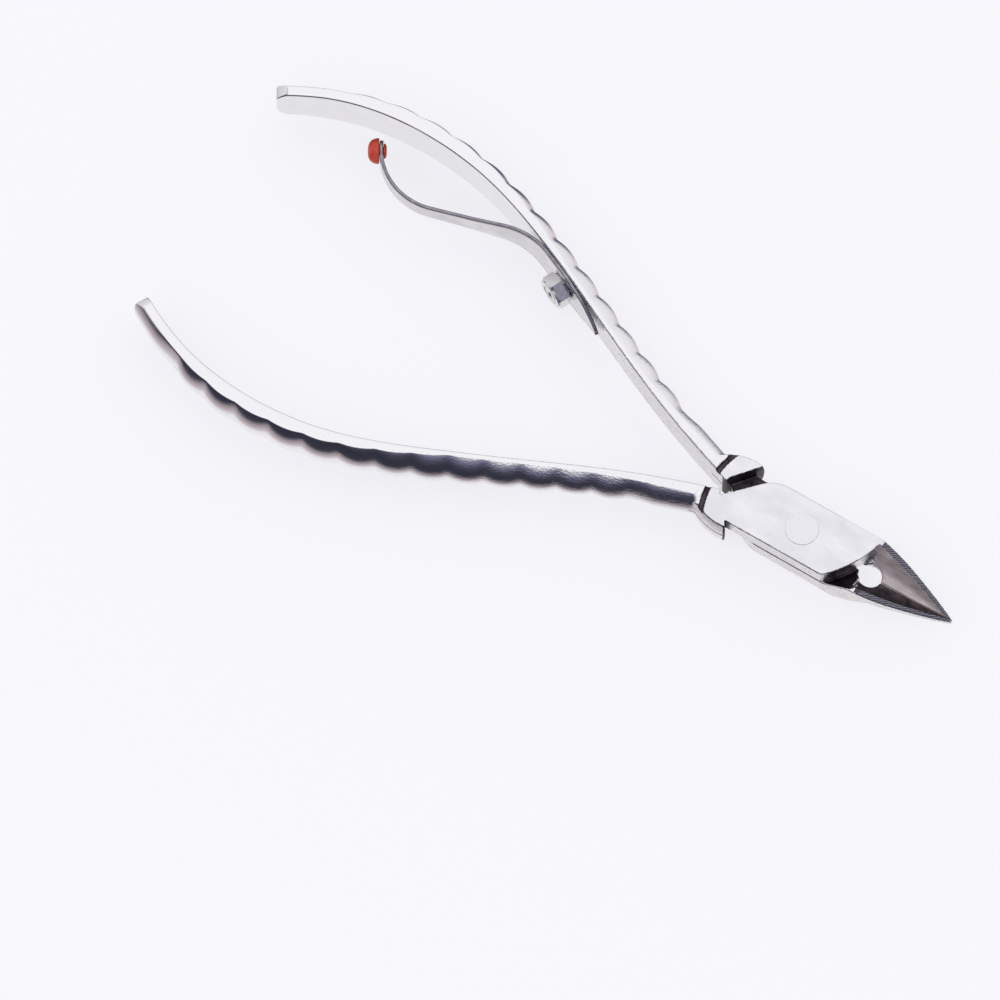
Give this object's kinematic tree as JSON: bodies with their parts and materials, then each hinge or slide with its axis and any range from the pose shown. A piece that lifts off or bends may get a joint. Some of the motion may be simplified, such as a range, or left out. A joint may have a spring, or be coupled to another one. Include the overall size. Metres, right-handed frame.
{
  "type": "cuticle nipper",
  "caption": "Lap-jointed steel cuticle nipper: scalloped handles, hollow-ground pointed jaws, a swivelling leaf spring with a soft bumper.",
  "frame": {"origin": "on the pivot axis, in the flat front face of the joint that the rivet head is flush with", "axes": "+X towards the jaw tips, +Y towards the handle that carries the spring, +Z along the pivot axis towards the hollow side of the jaws"},
  "size_m": [0.1054, 0.0454, 0.0086],
  "materials": {
    "steel": "polished and satin stainless steel",
    "rivet_steel": "straight brushed stainless steel",
    "spring_steel": "polished spring steel",
    "screw_steel": "bright turned steel",
    "bumper": "soft red plastic, satin"
  },
  "bodies": {
    "spring_side": {"spring_side_half": "steel", "pivot_rivet": "rivet_steel", "spring_screw": "screw_steel"},
    "plain_side": {"plain_side_half": "steel"},
    "spring": {"leaf_spring": "spring_steel", "bumper_bead": "bumper"}
  },
  "joints": [
    {"name": "jaw_pivot", "type": "hinge", "parent": "spring_side", "child": "plain_side", "pos_m": [0, 0, 0.0026], "axis": [0, 0, 1], "range_deg": [0, 22]},
    {"name": "spring_swivel", "type": "hinge", "parent": "spring_side", "child": "spring", "pos_m": [-0.041, 0.01334, 0.0026], "axis": [0.4162, 0.9093, 0], "range_deg": [0, 180], "deforming": ["leaf_spring", "bumper_bead"]}
  ]
}
